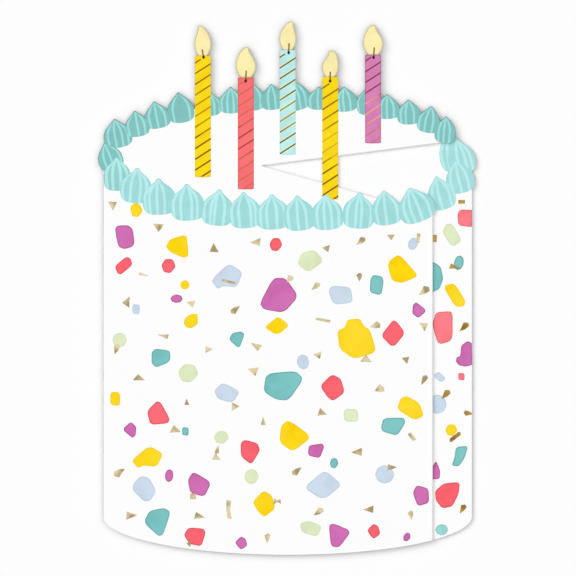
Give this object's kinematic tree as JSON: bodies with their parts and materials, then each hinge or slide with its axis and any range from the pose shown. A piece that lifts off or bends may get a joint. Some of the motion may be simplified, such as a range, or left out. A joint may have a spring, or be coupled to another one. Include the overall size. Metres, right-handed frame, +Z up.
{
  "type": "birthday card",
  "caption": "Closed die-cut greeting card in the shape of an iced cake with lit candles: one folded sheet whose front panel has a slice cut away.",
  "frame": {"origin": "middle of the card's box, on the outer face of the back panel that it lies on", "axes": "+Z up out of the front panel, +Y from the curved bottom of the cake to the candles, +X from the fold to the open side"},
  "size_m": [0.126, 0.1778, 0.0012],
  "materials": {
    "coated_card": "white coated card with a matt printed face"
  },
  "bodies": {
    "root": {"folded_card": "coated_card"}
  },
  "joints": []
}
